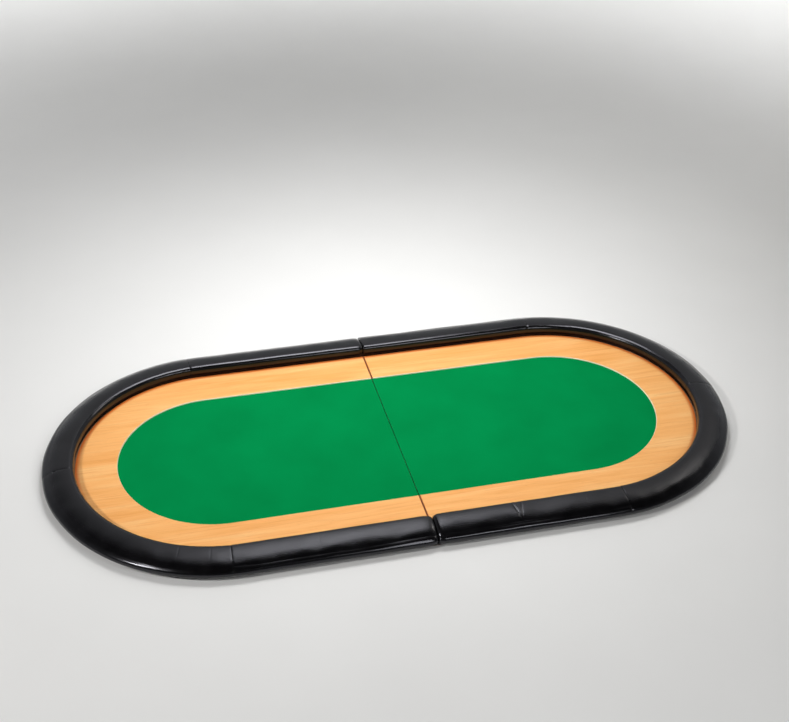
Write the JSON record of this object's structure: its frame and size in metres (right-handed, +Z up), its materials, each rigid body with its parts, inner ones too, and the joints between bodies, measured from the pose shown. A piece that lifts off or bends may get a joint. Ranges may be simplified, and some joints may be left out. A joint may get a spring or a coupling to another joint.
{
  "type": "folding poker table top",
  "caption": "Oval poker table top in two hinged halves, with a green felt field, a wooden racetrack and a padded black armrest rail, folding underside to underside.",
  "frame": {"origin": "on the surface the feet stand on, under the middle of the fold line", "axes": "+X along the table's length towards the right half, +Y to the table's back, +Z up out of the playing field"},
  "size_m": [2.133, 1.041, 0.058],
  "materials": {
    "felt": "green wool-blend felt, matt, short nap",
    "racetrack_wood": "honey-coloured beech veneer, satin lacquer, fine grain along the table",
    "rail_vinyl": "black soft PU leather, fine grain, semi-gloss, with turned seams",
    "foam": "open-cell polyurethane foam",
    "board": "bare medium-density fibreboard, fine speckle",
    "plywood": "bare plywood",
    "foot_rubber": "matt black rubber",
    "hinge_steel": "zinc-plated pressed steel",
    "zinc_steel": "bright zinc-plated steel"
  },
  "bodies": {
    "left_half": {"left_base_board": "board", "left_racetrack": "racetrack_wood", "left_felt_underlay": "foam", "left_felt": "felt", "left_rail_core": "plywood", "left_rail_foam_round": "foam", "left_rail_foam_back": "foam", "left_cover_back": "rail_vinyl", "left_cover_back_end": "rail_vinyl", "left_cover_back_round": "rail_vinyl", "left_rail_foam_front": "foam", "left_cover_front": "rail_vinyl", "left_cover_front_end": "rail_vinyl", "left_cover_front_round": "rail_vinyl", "left_cover_staples": "zinc_steel", "left_rail_screws": "zinc_steel", "left_feet": "foot_rubber", "left_foot_screws": "zinc_steel", "left_hinge_screws": "zinc_steel", "left_hinge_leaf_back": "hinge_steel", "left_hinge_leaf_middle": "hinge_steel", "left_hinge_leaf_front": "hinge_steel", "hinge_pin_back": "hinge_steel", "hinge_pin_middle": "hinge_steel", "hinge_pin_front": "hinge_steel"},
    "right_half": {"right_base_board": "board", "right_racetrack": "racetrack_wood", "right_felt_underlay": "foam", "right_felt": "felt", "right_rail_core": "plywood", "right_rail_foam_round": "foam", "right_rail_foam_back": "foam", "right_cover_back": "rail_vinyl", "right_cover_back_end": "rail_vinyl", "right_cover_back_round": "rail_vinyl", "right_rail_foam_front": "foam", "right_cover_front": "rail_vinyl", "right_cover_front_end": "rail_vinyl", "right_cover_front_round": "rail_vinyl", "right_cover_staples": "zinc_steel", "right_rail_screws": "zinc_steel", "right_feet": "foot_rubber", "right_foot_screws": "zinc_steel", "right_hinge_screws": "zinc_steel", "right_hinge_leaf_back": "hinge_steel", "right_hinge_leaf_middle": "hinge_steel", "right_hinge_leaf_front": "hinge_steel"}
  },
  "joints": [
    {"name": "centre_fold", "type": "hinge", "parent": "left_half", "child": "right_half", "pos_m": [0, 0, 0.0032], "axis": [0, 1, 0], "range_deg": [0, 177.7]}
  ]
}
